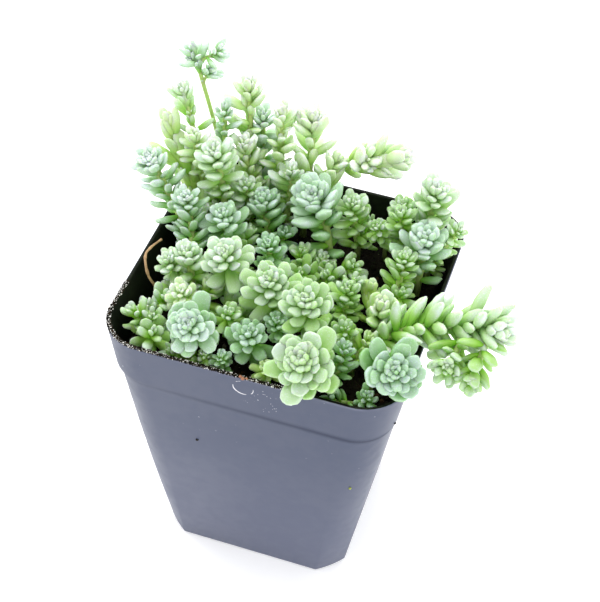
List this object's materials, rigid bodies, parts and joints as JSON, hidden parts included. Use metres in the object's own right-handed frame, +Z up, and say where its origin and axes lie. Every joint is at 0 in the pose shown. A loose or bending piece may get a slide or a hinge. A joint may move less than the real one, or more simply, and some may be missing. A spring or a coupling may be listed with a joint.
{
  "type": "potted sedum",
  "caption": "Small potted sedum: leafy blue-green succulent stems with rosette heads, standing in soil in a square plastic nursery pot.",
  "frame": {"origin": "on the surface that the pot stands on, under the middle of the pot's base", "axes": "+Z up; -Y out of the pot side that faces the viewer; +X to the viewer's right"},
  "size_m": [0.0879, 0.0715, 0.0999],
  "materials": {
    "pot_plastic": "satin",
    "soil": "matte",
    "dry_twig": "matte",
    "leaf_blue": "matte",
    "leaf_green": "matte",
    "leaf_pale": "matte"
  },
  "bodies": {
    "root": {"dry_twig": "dry_twig", "pot": "pot_plastic", "soil": "soil", "stem_back_blue": "leaf_blue", "stem_back_column": "leaf_green", "stem_back_fill": "leaf_green", "stem_back_left_bud": "leaf_blue", "stem_back_left_fill": "leaf_green", "stem_back_left_small": "leaf_blue", "stem_back_middle_pale": "leaf_pale", "stem_back_pale": "leaf_pale", "stem_back_right_long": "leaf_pale", "stem_back_small": "leaf_green", "stem_back_top": "leaf_blue", "stem_corner_large": "leaf_blue", "stem_corner_low": "leaf_blue", "stem_front_large": "leaf_green", "stem_front_left_fill": "leaf_green", "stem_front_left_large": "leaf_blue", "stem_front_left_upper": "leaf_blue", "stem_front_low_pale": "leaf_pale", "stem_front_middle_upper": "leaf_green", "stem_front_open": "leaf_green", "stem_front_right_low": "leaf_blue", "stem_front_right_upper": "leaf_green", "stem_front_small_blue": "leaf_blue", "stem_front_tiny_blue": "leaf_blue", "stem_front_tiny_green": "leaf_green", "stem_left_back_low": "leaf_green", "stem_left_back_tall": "leaf_green", "stem_left_column": "leaf_green", "stem_left_edge": "leaf_blue", "stem_left_high": "leaf_blue", "stem_left_inner": "leaf_blue", "stem_left_low_back": "leaf_green", "stem_left_low_front": "leaf_green", "stem_left_mid": "leaf_blue", "stem_left_middle_low": "leaf_green", "stem_left_pale": "leaf_pale", "stem_left_upright": "leaf_pale", "stem_left_wide": "leaf_blue", "stem_middle_back": "leaf_green", "stem_middle_blue": "leaf_blue", "stem_middle_low": "leaf_green", "stem_middle_right_back": "leaf_green", "stem_middle_right_low": "leaf_green", "stem_middle_small": "leaf_blue", "stem_middle_tall": "leaf_blue", "stem_right_back": "leaf_green", "stem_right_back_inner": "leaf_green", "stem_right_back_low": "leaf_green", "stem_right_edge": "leaf_green", "stem_right_large": "leaf_blue", "stem_right_low_front": "leaf_pale", "stem_right_low_middle": "leaf_green", "stem_right_middle": "leaf_green", "stem_right_thin": "leaf_green", "stem_right_trailing": "leaf_green", "stem_right_upright": "leaf_pale"}
  },
  "joints": []
}
